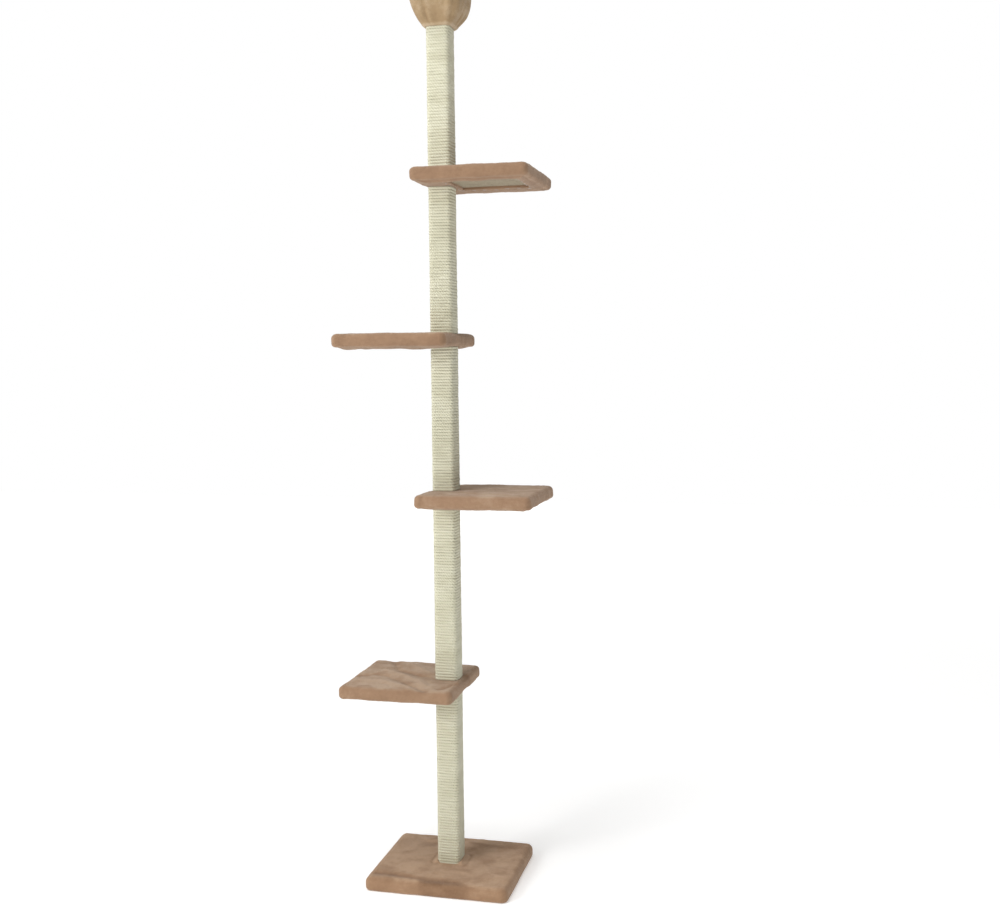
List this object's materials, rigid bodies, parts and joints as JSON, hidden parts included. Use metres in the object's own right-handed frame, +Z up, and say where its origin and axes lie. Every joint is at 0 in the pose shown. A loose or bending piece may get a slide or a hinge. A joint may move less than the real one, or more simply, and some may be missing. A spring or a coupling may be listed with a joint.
{
  "type": "cat tree",
  "caption": "Slim floor-to-ceiling cat tree: square sisal-wound post, plush-covered platforms to left and right, plush base and a bonnet over its ceiling tensioner.",
  "frame": {"origin": "middle of the base's underside, which lies on the post's axis", "axes": "+Z up along the post, +X to the right, +Y to the back"},
  "size_m": [0.548, 0.34, 2.5],
  "materials": {
    "plush": "short cut pile, matt, brushed",
    "sisal": "pale twisted rope, matt",
    "particle_board": "raw particle board",
    "paper_tube": "pressed paper",
    "plug_wood": "raw pine",
    "zinc_steel": "zinc plated",
    "pad_rubber": "matt black",
    "elastic": "woven band"
  },
  "bodies": {
    "root": {"base_board": "particle_board", "base_cover": "plush", "base_bolt": "zinc_steel", "base_washer": "zinc_steel", "section_1_core": "paper_tube", "section_1_sisal": "sisal", "section_1_foot_plug": "plug_wood", "section_1_foot_nut": "zinc_steel", "section_1_head_plug": "plug_wood", "section_1_head_nut": "zinc_steel", "section_2_core": "paper_tube", "section_2_sisal": "sisal", "section_2_foot_plug": "plug_wood", "section_2_foot_nut": "zinc_steel", "section_2_head_plug": "plug_wood", "section_2_head_nut": "zinc_steel", "section_3_core": "paper_tube", "section_3_sisal": "sisal", "section_3_foot_plug": "plug_wood", "section_3_foot_nut": "zinc_steel", "section_3_head_plug": "plug_wood", "section_3_head_nut": "zinc_steel", "section_4_core": "paper_tube", "section_4_sisal": "sisal", "section_4_foot_plug": "plug_wood", "section_4_foot_nut": "zinc_steel", "section_4_head_plug": "plug_wood", "section_4_head_nut": "zinc_steel", "section_5_core": "paper_tube", "section_5_sisal": "sisal", "section_5_foot_plug": "plug_wood", "section_5_foot_nut": "zinc_steel", "section_5_head_plug": "plug_wood", "platform_1_stud": "zinc_steel", "platform_2_stud": "zinc_steel", "platform_3_stud": "zinc_steel", "platform_4_stud": "zinc_steel", "thrust_washer": "zinc_steel", "bonnet": "plush", "bonnet_elastic": "elastic"},
    "platform_1": {"platform_1_board": "particle_board", "platform_1_cover": "plush"},
    "platform_2": {"platform_2_board": "particle_board", "platform_2_cover": "plush"},
    "platform_3": {"platform_3_board": "particle_board", "platform_3_cover": "plush"},
    "platform_4": {"platform_4_board": "particle_board", "platform_4_cover": "plush"},
    "adjusting_nut": {"adjusting_nut": "zinc_steel"},
    "ceiling_plate": {"tension_rod": "zinc_steel", "lock_nut": "zinc_steel", "flange_nut": "zinc_steel", "ceiling_plate": "particle_board", "ceiling_pad": "pad_rubber"}
  },
  "joints": [
    {"name": "adjusting_nut_turn", "type": "hinge", "parent": "root", "child": "adjusting_nut", "pos_m": [0, 0, 2.38], "axis": [0, 0, 1], "range_deg": [-10286, 10286]},
    {"name": "ceiling_plate_lift", "type": "slide", "parent": "root", "child": "ceiling_plate", "axis": [0, 0, 1], "range_m": [-0.05, 0.05], "deforming": ["bonnet"]},
    {"name": "platform_1_swivel", "type": "hinge", "parent": "root", "child": "platform_1", "pos_m": [0, 0, 0.5515], "axis": [0, 0, 1], "continuous": true},
    {"name": "platform_2_swivel", "type": "hinge", "parent": "root", "child": "platform_2", "pos_m": [0, 0, 1.0865], "axis": [0, 0, 1], "continuous": true},
    {"name": "platform_3_swivel", "type": "hinge", "parent": "root", "child": "platform_3", "pos_m": [0, 0, 1.5215], "axis": [0, 0, 1], "continuous": true},
    {"name": "platform_4_swivel", "type": "hinge", "parent": "root", "child": "platform_4", "pos_m": [0, 0, 1.9565], "axis": [0, 0, 1], "continuous": true}
  ],
  "couplings": [
    {"joint": "adjusting_nut_turn", "follows": "ceiling_plate_lift", "rad_per_m": -3590.4}
  ]
}
